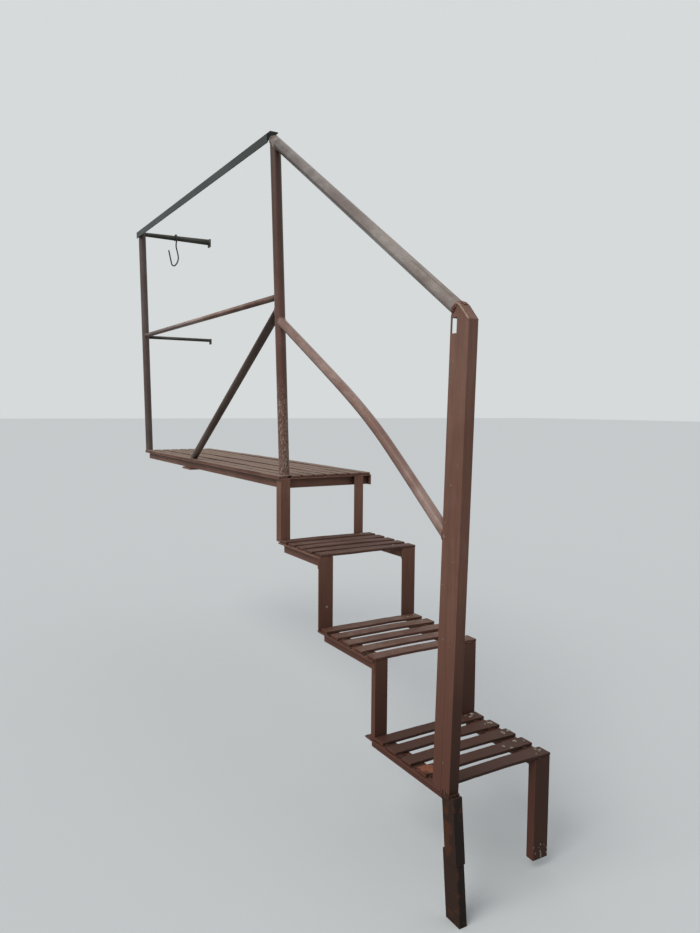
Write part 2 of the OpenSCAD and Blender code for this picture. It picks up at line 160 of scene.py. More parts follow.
sky = Finish("sky", bpy.data.worlds.new("sky"))
bpy.context.scene.world = sky.holder
ray_kinds = "Is Camera Ray", "Is Glossy Ray", "Is Transmission Ray"
camera_ray, glossy_ray, clear_ray = [
    sky.node("ShaderNodeLightPath", {}, {}, kind) for kind in ray_kinds
]
seen = sky.node("ShaderNodeBackground", {}, {"Color": tint(214, 218, 219), "Strength": 1})
around = sky.node("ShaderNodeBackground", {}, {"Color": (0.95, 0.98, 1, 1), "Strength": 0.6})
seen_rays = camera_ray + glossy_ray + clear_ray
both = sky.node("ShaderNodeMixShader", {}, {0: seen_rays, 1: around, 2: seen})
sky.node("ShaderNodeOutputWorld", {}, {"Surface": both})

lamp_data = bpy.data.lights.new("street_light", "SUN")
lamp_data.angle = math.radians(38)
lamp_data.energy = 1.5
lamp_data.color = (1, 0.985, 0.96)
lamp = placed("street_light", lamp_data)
lamp.rotation_mode = "QUATERNION"
lamp.rotation_quaternion = Vector((-0.2, 0.95, -0.95)).to_track_quat("-Z", "Y")

ground_half = 60
ground_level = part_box("outer_leg_lower")[0].z
ground_mesh = bmesh.new()
bmesh.ops.create_grid(ground_mesh, x_segments=1, y_segments=1, size=ground_half,
                      matrix=Matrix.Translation((0, 0, ground_level)))
ground = placed("ground", mesh_from("ground", ground_mesh))
pale = Finish("pale_floor")
lit = pale.node("ShaderNodeBsdfDiffuse", {}, {"Color": (0.62, 0.64, 0.65, 1)})
dim = pale.node("ShaderNodeBsdfDiffuse", {}, {"Color": (0.26, 0.26, 0.26, 1)})
to_camera = pale.node("ShaderNodeLightPath", {}, {}, "Is Camera Ray")
either = pale.node("ShaderNodeMixShader", {}, {0: to_camera, 1: dim, 2: lit})
pale.node("ShaderNodeOutputMaterial", {}, {"Surface": either})
ground.data.materials.append(pale.holder)


# Frame bars: T bars and angles, cut and welded by hand and painted with a red-brown oxide
# paint. It has faded on top, flakes along the edges and lets rust through near the welds. The
# lower it is, the rustier it is and the darker it is painted, which is painted shade; painted
# shade also darkens its corners and, low down, its end faces turned to +X.
stair_rusts = tint(142, 80, 44), tint(62, 40, 30), tint(150, 130, 115)


def darker(colour, share):
    """A colour with only that share of its light."""
    return (*[c * share for c in colour[:3]], 1)


def weathered(name, paint, faded, along, rusty, dusty, sheen, rusts=stair_rusts, depth=1,
              low_shading=0.85, scratches_and_top_shadow=0, deep=tint(99, 60, 48), bare=()):
    """Painted steel. along is the stretch of the brush's streaks, and rusts are the colours of
    fresh rust, old rust and dust. rusty and dusty say how much rust and dust there is, damp how
    much shade is painted low down, most on faces turned to +X and on low tops, and scratched how
    many scratches there are near the foot; it also turns on a painted shadow over the upper part.
    deep is the colour towards the bottom, on most finishes darker as painted shade, and bare gives
    the middle and reach of each spot where the paint is gone."""
    rust, scale_rust, dust = rusts
    steel = Finish(name)
    place = steel.node("ShaderNodeTexCoord", {}, {}, "Object")

    def cloud(size, detail, rough=0.6, where=place):
        sockets = {"Vector": where, "Scale": size, "Detail": detail, "Roughness": rough}
        return steel.node("ShaderNodeTexNoise", {}, sockets)

    # Patterns, from long brush streaks and broad patches to fine grit
    streaks = cloud(1, 4, 0.7, steel.of_vectors("MULTIPLY", place, along))
    patches = cloud(8, 5)
    mottle = cloud(46, 6, 0.68)
    grit = cloud(310, 4, 0.7)

    # Where on the stair the paint is: how low, how near an edge or a corner, and which way up
    height = steel.part(place, 2)
    low_down = steel.rising(0.1 - height + patches * 0.3, 0.26, 0.88)
    rounded = steel.node("ShaderNodeBevel", {"samples": 6}, {"Radius": 0.003})
    true_normal = steel.node("ShaderNodeNewGeometry", {}, {}, "True Normal")
    edges = steel.rising(1 - steel.of_vectors("DOT_PRODUCT", rounded, true_normal, 1), 0.02, 0.3)
    # Other metal near: rust gathers at the junctions, and painted shade darkens the corners
    open_air = steel.node("ShaderNodeAmbientOcclusion", {"samples": 8}, {"Distance": 0.03}, 1)
    corners = steel.rising(1 - open_air, 0.25, 0.85)
    top = steel.rising(steel.part(true_normal, 2), 0.45, 0.95)
    # Faces turned to +X, away from the lamp: shade is painted on them low down
    shaded_end_faces = steel.rising(steel.part(true_normal, 0), 0.3, 0.9)

    # Paint, then rust through it, dust on it and what has been scraped off, with painted shade low
    # down, over the upper part where asked, and in the corners
    colour = steel.mixed(steel.rising(patches, 0.36, 0.66), paint, faded)
    colour = steel.mixed(steel.rising(streaks, 0.38, 0.72) * 0.5, colour, darker(paint, 0.62))
    colour = steel.mixed(steel.rising(mottle, 0.56, 0.74) * 0.35, colour, faded)
    # Painted shade: towards the bottom the colour turns to deep, which on most finishes is darker
    colour = steel.mixed(low_down * 0.85, colour, deep)
    # More painted shade low down, in a dark rust brown, strongest on the end faces turned to +X
    # and on upward faces
    painted_low_shade = low_down * low_shading * (0.14 + shaded_end_faces * 0.8 + top * 0.5)
    colour = steel.mixed(painted_low_shade, colour, darker(scale_rust, 0.8))
    flaking = mottle + grit * 0.3 + edges * 0.2 + corners * 0.12 + patches * 0.35
    eaten = steel.rising(flaking + low_down * 0.05, 1.14 - rusty, 1.26 - rusty)
    rust_colour = steel.mixed(steel.rising(grit + mottle * 0.6, 0.62, 0.98), scale_rust, rust)
    colour = steel.mixed(eaten, colour, rust_colour)
    settled = steel.rising(mottle * 0.5 + patches + top * dusty - low_down * 0.3, 0.95, 1.5)
    colour = steel.mixed(settled * 0.85, colour, dust)
    for middle, reach in bare:
        away = steel.of_vectors("DISTANCE", place, middle, 1)
        ragged = mottle * (reach * 3.4) + grit * (reach * 1.2) - reach * 1.5
        gone = steel.rising(ragged - away, 0, reach * 0.25)
        bare_rust = steel.mixed(steel.rising(grit, 0.3, 0.7), darker(rust, 0.45), rust)
        colour = steel.mixed(gone * 0.8, colour, bare_rust)
    if scratches_and_top_shadow:
        # Painted shadow under the handrail: the higher up the post, the darker the paint
        painted_top_shadow = steel.rising(height, 0.25, 1) * 0.85
        colour = steel.mixed(painted_top_shadow, colour, darker(paint, 0.42))
        nicks = cloud(1, 3, 0.8, steel.of_vectors("MULTIPLY", place, (420, 420, 130)))
        near_foot = steel.rising(0.32 - height, 0, 0.1) * scratches_and_top_shadow
        scraped = steel.rising(nicks + mottle * 0.25, 0.66, 0.72) * near_foot
        colour = steel.mixed(scraped, colour, tint(190, 176, 164))
    # Painted shade: corners and gaps between parts, found by ambient occlusion, are darkened
    # towards a deep rust brown
    shade = steel.mixed(corners * 0.62, colour, darker(scale_rust, 0.3))

    # Surface: paint stands higher than the rust beside it, and is smoother
    relief = streaks * 0.35 + grit * (0.12 + eaten * 0.9) - eaten * 0.9 + mottle * 0.3
    raised = {"Strength": 1, "Distance": 0.0008 * depth, "Height": relief}
    sockets = {
        "Base Color": shade,
        "Roughness": sheen + eaten * 0.3 + settled * 0.2 - streaks * 0.08,
        "Normal": steel.node("ShaderNodeBump", {}, raised),
        "Specular IOR Level": 0.32,
    }
    skin = steel.node("ShaderNodeBsdfPrincipled", {}, sockets)
    steel.node("ShaderNodeOutputMaterial", {}, {"Surface": skin})
    return steel.holder


def dress(material, *names, softened=0.0007):
    """Gives CAD nodes a finish, and takes the sharpness off their edges."""
    for name in names:
        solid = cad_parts[name]
        if not solid.material_slots:
            solid.data.materials.append(material)
        for held in solid.material_slots:
            held.material = material
        joined = solid.modifiers.new("joined", "WELD")
        joined.merge_threshold = 0.00001
        if softened:
            eased = solid.modifiers.new("eased", "BEVEL")
            eased.width, eased.segments = softened, 2
            eased.limit_method, eased.angle_limit = "ANGLE", math.radians(50)
            eased.harden_normals = False


step_numbers, sides = (1, 2, 3), ("outer", "inner")
oxide, pinkish = tint(118, 80, 65), tint(134, 97, 81)
paint_on = {
    way: weathered("oxide_paint_" + way, oxide, pinkish, along, 0.02, 0.4, 0.58)
    for way, along in (("x", (9, 160, 160)), ("y", (160, 9, 160)), ("z", (170, 170, 9)))
}
step_bars = [f"step_{number}_{side}_bar" for number in step_numbers for side in sides]
risers = [f"riser_{letter}_{side}" for letter in "abc" for side in sides]
dress(paint_on["x"], "landing_outer_bar", "landing_wall_angle", *step_bars)
dress(paint_on["y"], "landing_near_bar", "landing_far_bar", "landing_cross_bar")
dress(paint_on["z"], "inner_leg", *risers)


# Slats: flat bars laid across the frame by hand, so that none is quite straight or level with
# the next. Their tops are walked on and dusty, and their long edges are rounded with rust.
landing_slat_width, step_slat_width, slats_per_step = 0.030, 0.035, 5
noise.seed_set(7)


def slat_pitch(low, high, across=0, width=step_slat_width, count=slats_per_step):
    """The distance from slat to slat, where they fill a box."""
    return (high[across] - low[across] - width) / (count - 1)


def flat_bars(name, bars, lengthwise, cuts, sags):
    """A mesh of several flat bars, each from a low to a high corner, with wavering edges."""
    across = 1 - lengthwise
    start, stop = bars[0][0][lengthwise], bars[0][1][lengthwise]
    shapes = bmesh.new()
    for low, high in bars:
        place = Matrix.Translation((low + high) / 2) @ Matrix.Diagonal((*(high - low), 1))
        bmesh.ops.create_cube(shapes, size=1, matrix=place)
    long_enough = (stop - start) * 0.8
    long_edges = [e for e in shapes.edges
                  if abs((e.verts[0].co - e.verts[1].co)[lengthwise]) > long_enough]
    bmesh.ops.subdivide_edges(shapes, edges=long_edges, cuts=cuts, use_grid_fill=True)
    corners = [e for e in shapes.edges if e.calc_face_angle(0) > 1]
    bmesh.ops.bevel(shapes, geom=corners, offset=0.0013, segments=2, profile=0.5,
                    affect="EDGES", material=-1)

    # Each bar sags and wavers in its own slow way, and has quick small dents; its ends are rough
    middles = [(low + high)[across] / 2 for low, high in bars]
    for vertex in shapes.verts:
        here = vertex.co
        bar = min(range(len(bars)), key=lambda k: abs(middles[k] - here[across]))
        part = min(1, max(0, (here[lengthwise] - start) / (stop - start)))
        slow = noise.noise_vector(here * 11 + Vector((bar * 5, 0, 0)))
        quick = noise.noise_vector(here * 85)
        vertex.co.z += sags[bar] * math.sin(math.pi * part) + slow.z * 0.0006 + quick.z * 0.0003
        vertex.co[across] += slow.x * 0.0022 + quick.x * 0.0005
        ragged_end = 1 if part in (0, 1) else 0.2
        vertex.co[lengthwise] += (slow.y * 0.004 + quick.y * 0.001) * ragged_end
    bmesh.ops.recalc_face_normals(shapes, faces=shapes.faces)
    return mesh_from(name, shapes)


def fixed(name, data, finish, node=""):
    """A piece that is part of the stair, and takes the place of a CAD node if one is named."""
    piece = placed(name, data)
    data.materials.append(finish)
    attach(piece, "stair")
    if node:
        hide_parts(node)


slat_top, slat_worn = tint(98, 67, 56), tint(116, 84, 71)
slat_rusts = *stair_rusts[:2], tint(138, 118, 104)
bottom_rusts = tint(158, 92, 60), *slat_rusts[1:]
bare_spots = ((1.405, -0.285, -0.5435), 0.026), ((1.41, -0.26, -0.5435), 0.018)
slat_along = weathered("slat_paint_along", slat_top, slat_worn, (7, 190, 190), 0.05, 0.8, 0.66,
                       slat_rusts)
slat_top_step = weathered("slat_paint_top_step", tint(86, 58, 49), tint(100, 72, 61),
                          (190, 7, 190), 0.08, 0.3, 0.72, slat_rusts, low_shading=0.6)
slat_across = weathered("slat_paint_across", slat_top, slat_worn, (190, 7, 190), 0.08, 0.55,
                        0.66, slat_rusts, low_shading=0.6)
slat_bottom = weathered("slat_paint_bottom", tint(104, 66, 53), slat_worn, (190, 7, 190), 0.1,
                        0.36, 0.7, bottom_rusts, low_shading=1.05, bare=bare_spots)
behind_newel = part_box("newel_short_tube")[0].y + 0.0285
for tread, width, lengthwise, cuts, finish, sags in (
    ("landing", landing_slat_width, 0, 60, slat_along,
     (0, -0.0015, 0.001, -0.001, 0.0015, 0, -0.001, 0.001)),
    ("step_1", step_slat_width, 1, 22, slat_top_step, (0.0010, 0.0004, 0.0016, 0.0008, 0.0012)),
    ("step_2", step_slat_width, 1, 22, slat_across, (0.0006, 0.0018, 0.0008, 0.0022, 0.0014)),
    ("step_3", step_slat_width, 1, 22, slat_bottom, (0.0010, 0.0020, 0.0006, 0.0016, 0.0030)),
):
    low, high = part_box(tread + "_slats")
    across = 1 - lengthwise
    pitch = slat_pitch(low, high, across, width, len(sags))
    bars = []
    for k in range(len(sags)):
        bar_low, bar_high = low.copy(), high.copy()
        start = low[across] + k * pitch
        bar_low[across], bar_high[across] = start, start + width
        bars.append((bar_low, bar_high))
    if tread == "step_3":
        bars[-1][0].y = behind_newel
    name = tread + "_flat_bars"
    slats = flat_bars(name, bars, lengthwise, cuts, sags)
    fixed(name, slats, finish, tread + "_slats")


# Outer leg: two lengths of angle, the lower one welded inside the foot of the upper one to
# make it long enough. Most of the paint is gone, and fresh rust shows in three places.
leg_rusts = tint(94, 53, 29), tint(30, 22, 18), tint(92, 78, 68)
leg_spots = (
    ((1.504, -0.31, -0.62), 0.02), ((1.508, -0.31, -0.655), 0.018), ((1.5, -0.31, -0.585), 0.014),
)
leg_rust = weathered("leg_rust", tint(44, 30, 23), tint(53, 36, 27), (150, 150, 12), 0.16, 0.1,
                     0.7, leg_rusts, depth=1.8, low_shading=0.9, deep=tint(56, 35, 26), bare=leg_spots)
dress(leg_rust, "outer_leg_upper", "outer_leg_lower")


# Railing: round pipes with coped ends, brushed with the same paint, which is greyer on the far
# post and the brace and paler on top, where the light and hands have worn it.
pipe_radius, brace_radius, mid_radius = 0.015, 0.0125, 0.009
corner_foot, corner_top = Vector((0.697, -0.286, 0.0225)), Vector((0.679, -0.306, 0.9795))
far_foot, far_top = Vector((-0.697, -0.295, 0.0225)), Vector((-0.709, -0.311, 0.9795))
hand_start, hand_end = Vector((0.6794, -0.3056, 0.9585)), Vector((1.481, -0.2865, 0.4115))
mid_far, mid_near = Vector((-0.7034, -0.3035, 0.5315)), Vector((0.6874, -0.2966, 0.5315))
brace_foot, brace_head = Vector((-0.086, -0.295, 0.0225)), Vector((0.688, -0.2959, 0.4985))
rail_way = (hand_end - hand_start).normalized()
brushed_up, brushed_along = (150, 150, 8), (8, 150, 60)
pipe_upright = weathered("pipe_paint_upright", tint(94, 79, 74), tint(108, 93, 87), brushed_up,
                         0, 0.3, 0.5)
pipe_along = weathered("pipe_paint_along", tint(128, 97, 86), tint(158, 132, 122),
                       brushed_along, 0, 0.35, 0.36, deep=tint(118, 80, 68))
hand_coat = weathered("pipe_paint_hand", tint(124, 108, 101), tint(156, 146, 139),
                      brushed_along, 0, 0.35, 0.36)
dress(pipe_upright, "far_post", "brace", softened=0)
dress(pipe_along, "mid_rail", softened=0)
dress(hand_coat, "handrail", softened=0)


# Lower rail: one pipe from the corner post to the newel, bent by hand a little past its
# middle, so that the bend is long and soft.
def bent_tube(name, points, radius, roundness, steps, closed=False):
    """A round tube or wire along a soft curve near the points given."""
    bent = bpy.data.curves.new(name, "CURVE")
    bent.dimensions, bent.bevel_depth, bent.bevel_resolution = "3D", radius, roundness
    bent.use_fill_caps = closed
    spline = bent.splines.new("NURBS")
    spline.points.add(len(points) - 1)
    spline.order_u, spline.use_endpoint_u, spline.resolution_u = 3, True, steps
    for point, here in zip(spline.points, points):
        point.co = (*here, 1)
    return bent


lower_start, lower_knee = Vector((0.6887, -0.2952, 0.4645)), Vector((1.1703, -0.2931, 0.2027))
lower_stop = Vector((1.4914, -0.2917, -0.0535))
before_bend = lower_start.lerp(lower_knee, 0.5)
bend = lower_knee + Vector((-0.002, 0, -0.004))
after_bend = lower_knee.lerp(lower_stop, 0.5)
inside_newel = lower_knee.lerp(lower_stop, 0.94)
lower_points = lower_start, before_bend, bend, after_bend, inside_newel
lower_pipe = bent_tube("lower_rail_pipe", lower_points, brace_radius, 8, 16)
fixed("lower_rail_pipe", lower_pipe, pipe_along, "lower_rail")


# Corner of the railing: the handrail runs over the corner post, which stops beneath it, and its
# upper end is closed and rounded off with weld. The post's upper part is painted darker, a painted
# shadow under the handrail, and the paint near its foot has scratches.
def round_bar(name, start, stop, radius, rounding):
    """A mesh of a closed round bar whose rims are rounded."""
    shapes = bmesh.new()
    way = stop - start
    turned = way.to_track_quat("Z", "Y").to_matrix().to_4x4()
    bmesh.ops.create_cone(shapes, cap_ends=True, segments=40, radius1=radius, radius2=radius,
                          depth=way.length, matrix=Matrix.Translation((start + stop) / 2) @ turned)
    rims = [e for e in shapes.edges if e.calc_face_angle(0) > 1]
    bmesh.ops.bevel(shapes, geom=rims, offset=rounding, segments=3, profile=0.5,
                    affect="EDGES", material=-1)
    for face in shapes.faces:
        face.smooth = True
    return mesh_from(name, shapes)


post_shown = 0.944
post_stop = corner_foot + (corner_top - corner_foot).normalized() * post_shown
end_start, end_stop = hand_start - rail_way * 0.0125, hand_start + rail_way * 0.03
corner_coat = weathered("pipe_paint_corner", tint(108, 76, 64), tint(126, 92, 80), brushed_up,
                        0, 0.3, 0.5, scratches_and_top_shadow=0.8)
corner_pipe = round_bar("corner_pipe", corner_foot, post_stop, pipe_radius, 0.001)
fixed("corner_pipe", corner_pipe, corner_coat, "corner_post")
handrail_end = round_bar("handrail_end", end_start, end_stop, 0.0152, 0.004)
fixed("handrail_end", handrail_end, hand_coat)


# Newel: two square tubes side by side that lean as one, with a sloped cap. The seam between
# them is filled and painted over above, and open below but for three tacks.
tube_width = 0.0275
newel_foot, newel_top = Vector((1.482, -0.298, -0.5505)), Vector((1.5, -0.286, 0.3985))
newel_way = (newel_top - newel_foot).normalized()
newel_side = Vector((1, 0, 0)) - newel_way * newel_way.x
newel_side.normalize()
newel_left = newel_foot - newel_side * tube_width
half_depth, ridge_height = 0.012, 0.9672
street_face = Vector((0, -half_depth, 0))
cap_ridge = newel_foot + newel_way * ridge_height
newel_coat = weathered("newel_paint", tint(118, 82, 68), tint(130, 94, 79), (120, 120, 7), 0.02,
                       0.3, 0.55, low_shading=1.05)
dress(newel_coat, "newel_short_tube", "newel_long_tube", softened=0.0009)
dress(newel_coat, "newel_cap", softened=0.0008)


# Top rail and wall bars: a small angle on the posts' tops, and two round bars that run from
# the far post to lugs on the wall, all in an older dark paint. The upper bar narrows to the
# post.
upper_bar, lower_bar = Vector((-0.7089, -0.3109, 0.9735)), Vector((-0.7033, -0.3034, 0.5255))
upper_radius, upper_root_radius, lower_radius = 0.0085, 0.013, 0.007
to_wall, lug_weld_y = Vector((0, 1, 0)), -0.006
dark_rusts = tint(104, 66, 44), tint(54, 42, 36), tint(124, 118, 108)
rail_rusts = tint(92, 62, 44), tint(48, 40, 35), tint(112, 112, 104)
dark_coat = weathered("dark_paint", tint(62, 62, 56), tint(84, 81, 74), (12, 90, 90), 0.04,
                      0.35, 0.5, dark_rusts, low_shading=0)
rail_coat = weathered("dark_paint_rail", tint(38, 46, 42), tint(55, 64, 59), (9, 110, 110), 0.04,
                      0.3, 0.5, rail_rusts, low_shading=0)
dress(rail_coat, "top_rail")
dress(dark_coat, "upper_wall_lug", "lower_wall_lug")
dress(dark_coat, "upper_wall_bar", "lower_wall_bar", softened=0)


# Hook: one round wire bent cold into an eye, a leaning shank and an open bow. It isn't fixed,
# and swings on the upper wall bar by its eye.
wire_radius, eye_radius, eye_drop = 0.003, 0.01522, 0.006
eye = Vector((-0.7089, -0.16, 0.9735))
shank_and_bow = (
    (-0.16, 0.9403), (-0.1551, 0.9209), (-0.1503, 0.9015), (-0.1488, 0.8887), (-0.1507, 0.876),
    (-0.1556, 0.8642), (-0.1635, 0.854), (-0.1664, 0.852), (-0.1699, 0.8511), (-0.1734, 0.8515),
    (-0.1766, 0.8531), (-0.179, 0.8557), (-0.1803, 0.859), (-0.1866, 0.8884), (-0.1928, 0.9177),
)
eye_turns = [math.radians(a) for a in range(215, -1, -15)]
wire = [eye + Vector((math.cos(a), 0, math.sin(a))) * eye_radius for a in eye_turns]
wire.append(eye + Vector((eye_radius, 0, -eye_drop)))
wire += [Vector((eye.x, y, z)) for y, z in shank_and_bow]
hook_rusts = tint(104, 66, 44), tint(50, 38, 32), tint(110, 100, 92)
hook_coat = weathered("hook_wire", tint(56, 54, 50), tint(72, 68, 63), (60, 60, 20), 0.06, 0.2,
                      0.45, hook_rusts, low_shading=0)
bent_wire = placed("hook_wire", bent_tube("hook_wire", wire, wire_radius, 4, 6, closed=True))
bent_wire.data.materials.append(hook_coat)
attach(bent_wire, "hanging_hook")
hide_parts("hook")


# Railing welds: beads of weld metal, laid by hand in short ripples and painted over, round the
# end of each pipe and bar and round the posts' feet.
dice = random.Random(7)


def beads(name, lines, finish):
    """One piece of several beads, each a list of points with a thickness. A bead ripples as
    the hand moves on, shakes a little and is thinner at both ends."""
    ripple_length = 0.0016
    curve = bpy.data.curves.new(name, "CURVE")
    curve.dimensions = "3D"
    curve.bevel_depth, curve.bevel_resolution = 1, 2
    curve.use_fill_caps = True
    for points, thickness in lines:
        length = sum((b - a).length for a, b in zip(points, points[1:]))
        count = max(6, int(length / ripple_length))
        spline = curve.splines.new("POLY")
        spline.points.add(count)
        for k in range(count + 1):
            part = k / count * (len(points) - 1)
            before = min(int(part), len(points) - 2)
            here = points[before].lerp(points[before + 1], part - before)
            ripple = 0.82 + 0.22 * abs(math.sin(k * 1.25)) + dice.uniform(-0.14, 0.14)
            end = min(1, 0.35 + min(k, count - k) * 0.3)
            shake = Vector([dice.uniform(-1, 1) * thickness * 0.14 for _ in range(3)])
            spline.points[k].co = (*(here + shake), 1)
            spline.points[k].radius = thickness * ripple * end
    fixed(name, curve, finish)


def round_points(first=0, last=360, count=24):
    """Cosines and sines of evenly spaced turns."""
    turns = [math.radians(first + (last - first) * k / count) for k in range(count + 1)]
    return [(math.cos(a), math.sin(a)) for a in turns]


def meeting(end, way, radius, post, first=0, last=360):
    """The line on which a round bar from end, going way, meets a round post."""
    post_foot, post_top = post
    way = way.normalized()
    side = way.cross(post_top - post_foot).normalized()
    rise = side.cross(way)
    axis = (post_top - post_foot).normalized()
    flat = way - axis * way.dot(axis)
    points = []
    for across, upward in round_points(first, last):
        start = end + (side * across + rise * upward) * radius
        off = start - post_foot
        off -= axis * off.dot(axis)
        a, b, c = flat.dot(flat), 2 * off.dot(flat), off.dot(off) - pipe_radius ** 2
        root = math.sqrt(max(0, b * b - 4 * a * c))
        points.append(start + way * ((root - b) / (2 * a)))
    return points


def ring(centre, way, radius):
    """A round line about way."""
    side = way.orthogonal().normalized()
    rise = way.cross(side).normalized()
    return [centre + (side * across + rise * upward) * radius
            for across, upward in round_points()]


up, foot_radius = Vector((0, 0, 1)), 0.0152
corner, far = (corner_foot, corner_top), (far_foot, far_top)
pipe_lines = [
    (meeting(mid_near, mid_far - mid_near, mid_radius, corner), 0.0016),
    (meeting(mid_far, mid_near - mid_far, mid_radius, far), 0.0014),
    (meeting(brace_head, brace_foot - brace_head, brace_radius, corner), 0.0022),
    (meeting(lower_start, lower_knee - lower_start, brace_radius, corner), 0.0022),
    (meeting(hand_start, hand_end - hand_start, pipe_radius, corner, 200, 340), 0.0024),
    (meeting(upper_bar, to_wall, upper_radius, far), 0.0014),
    (meeting(lower_bar, to_wall, lower_radius, far), 0.0012),
    (ring(corner_foot, up, foot_radius), 0.0022),
    (ring(far_foot, up, foot_radius), 0.0018),
]
for bar, radius in ((upper_bar, upper_root_radius), (lower_bar, lower_radius)):
    pipe_lines.append((ring(Vector((bar.x, lug_weld_y, bar.z)), to_wall, radius), 0.0014))
brace_rise = (brace_head - brace_foot).normalized().z
oval = [Vector((p.x / brace_rise, p.y, 0.0006)) for p in ring(Vector(), up, brace_radius)]
pipe_lines.append(([brace_foot + p for p in oval], 0.0018))
beads("railing_welds", pipe_lines, pipe_along)


# Newel welds: a bead round each rail's end, one along the seam and three tacks in its lower
# part, and a thick one over the cap's street edge, coloured pale as a painted highlight along that
# edge.
low_way = (lower_stop - lower_knee).normalized()
rail_line = []
for point in ring(lower_knee, low_way, brace_radius):
    away = (newel_left - point).dot(newel_side) / low_way.dot(newel_side)
    rail_line.append(point + low_way * away)
seam_heights, tack_heights, tack_length = (0.272, 0.6, 0.952), (0.035, 0.13, 0.2), 0.016
seam = newel_foot + street_face + Vector((0, 0.0011, 0))
seam_line = [seam + newel_way * height for height in seam_heights]
newel_lines = [
    (rail_line, 0.0022),
    (ring(hand_end + rail_way * 0.0004, rail_way, 0.0137), 0.0032),
    (seam_line, 0.00125),
]
for height in tack_heights:
    tack = [seam + newel_way * height, seam + newel_way * (height + tack_length)]
    newel_lines.append((tack, 0.0018))
beads("newel_welds", newel_lines, newel_coat)

cap_line = [
    cap_ridge + street_face + newel_side * reach + Vector((0, -0.0002, rise))
    for reach, rise in ((-0.012, 0.0045), (0, -0.002), (0.012, -0.0145), (0.0265, -0.0295))
]
# Painted highlight: the bead on the cap's street edge is pale, for the light along that edge
weld_painted_highlight = weathered("weld_painted_highlight", tint(150, 118, 102), tint(172, 146, 130), (120, 120, 7), 0.06,
                      0.3, 0.5)
beads("cap_weld", [(cap_line, 0.0018)], weld_painted_highlight)


# Frame welds: beads round the risers' feet and down the sides of their heads, short ones at the
# ends of the slats, and two that hold the cross bar. Some slats have none.
frame_lines = []
for bar_name, upright in zip(step_bars, risers):
    low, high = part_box(upright)
    bar_low, bar_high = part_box(bar_name)
    foot, tail = bar_high.z, max(low.x, bar_low.x + 0.001)
    near_corner = Vector((high.x, low.y, foot))
    frame_lines.append(([Vector((tail, low.y, foot)), near_corner], 0.0019))
    frame_lines.append(([near_corner, Vector((high.x, high.y, foot))], 0.0016))
for bar_name, upright in zip(step_bars, risers[2:]):
    low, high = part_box(upright)
    x, bottom = high.x - 0.0042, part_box(bar_name)[1].z - 0.004
    frame_lines.append(([Vector((x, low.y, bottom)), Vector((x, low.y, high.z - 0.03))], 0.0016))
for upright in risers[:2]:
    low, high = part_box(upright)
    x = high.x - 0.001
    frame_lines.append(([Vector((x, low.y, high.z)), Vector((x, high.y, high.z))], 0.0016))
for number in step_numbers:
    low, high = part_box(f"step_{number}_slats")
    pitch = slat_pitch(low, high)
    for k in range(slats_per_step):
        for edge in (0, step_slat_width):
            x = low.x + k * pitch + edge
            for side in sides:
                bar_low, bar_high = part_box(f"step_{number}_{side}_bar")
                if dice.random() < 0.3 or x > high.x - 0.03 and side == "outer":
                    continue
                start = bar_low.y + dice.uniform(0.004, 0.014)
                stop = start + dice.uniform(0.012, 0.022)
                z = bar_high.z + 0.0006
                frame_lines.append(([Vector((x, start, z)), Vector((x, stop, z))],
                                    dice.uniform(0.0014, 0.0024)))
low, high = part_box("landing_cross_bar")
for x in (low.x, high.x):
    frame_lines.append(([Vector((x, low.y + 0.002, high.z)), Vector((x, low.y + 0.042, high.z))],
                        0.0018))
beads("frame_welds", frame_lines, paint_on["x"])


# Leg welds: a thick bead round the head of the outer leg, under the newel, and one across the
# foot of its upper length.
low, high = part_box("outer_leg_upper")
leg_start, leg_lean = 1.486, math.tan(math.radians(6))
round_head = (
    (1.484, -0.3102), (1.499, -0.3108), (1.511, -0.3104), (1.511, -0.299), (1.511, -0.288),
)
head_line = [Vector((x, y, high.z)) for x, y in round_head]
lap_x, lap_y = leg_start + leg_lean * (high.z - low.z), -0.3062
lap_line = [
    Vector((lap_x + 0.001, lap_y, low.z + 0.003)),
    Vector((lap_x + 0.034, lap_y, low.z + 0.0005)),
]
beads("leg_welds", [(head_line, 0.0027), (lap_line, 0.0018)], leg_rust)


# Plaster and mortar: crumbs and splashes that stick to the inner ends of the steps and to the
# inner foot, and here and there to the newel and a riser.
plaster = Finish("plaster_crumbs")
place = plaster.node("ShaderNodeTexCoord", {}, {}, "Object")
specks = plaster.node("ShaderNodeTexNoise", {}, {"Vector": place, "Scale": 160, "Detail": 5})
crumb = plaster.mixed(plaster.rising(specks, 0.38, 0.62), tint(112, 104, 92), tint(164, 156, 142))
bumps = plaster.node("ShaderNodeBump", {}, {"Strength": 1, "Distance": 0.001, "Height": specks})
sockets = {"Base Color": crumb, "Roughness": 0.9, "Normal": bumps}
skin = plaster.node("ShaderNodeBsdfPrincipled", {}, sockets)
plaster.node("ShaderNodeOutputMaterial", {}, {"Surface": skin})


def crumbs(name, spots, finish):
    """One piece of many lumps: each spot is a middle and its half sizes."""
    lumps = bmesh.new()
    for middle, halves in spots:
        made = bmesh.ops.create_icosphere(lumps, subdivisions=2, radius=1)
        offset = Vector([dice.uniform(-9, 9) for _ in range(3)])
        for vertex in made["verts"]:
            bulge = 1 + noise.noise(vertex.co * 1.7 + offset) * 0.55
            vertex.co = Vector([c * h for c, h in zip(vertex.co * bulge, halves)]) + middle
    fixed(name, mesh_from(name, lumps), finish)


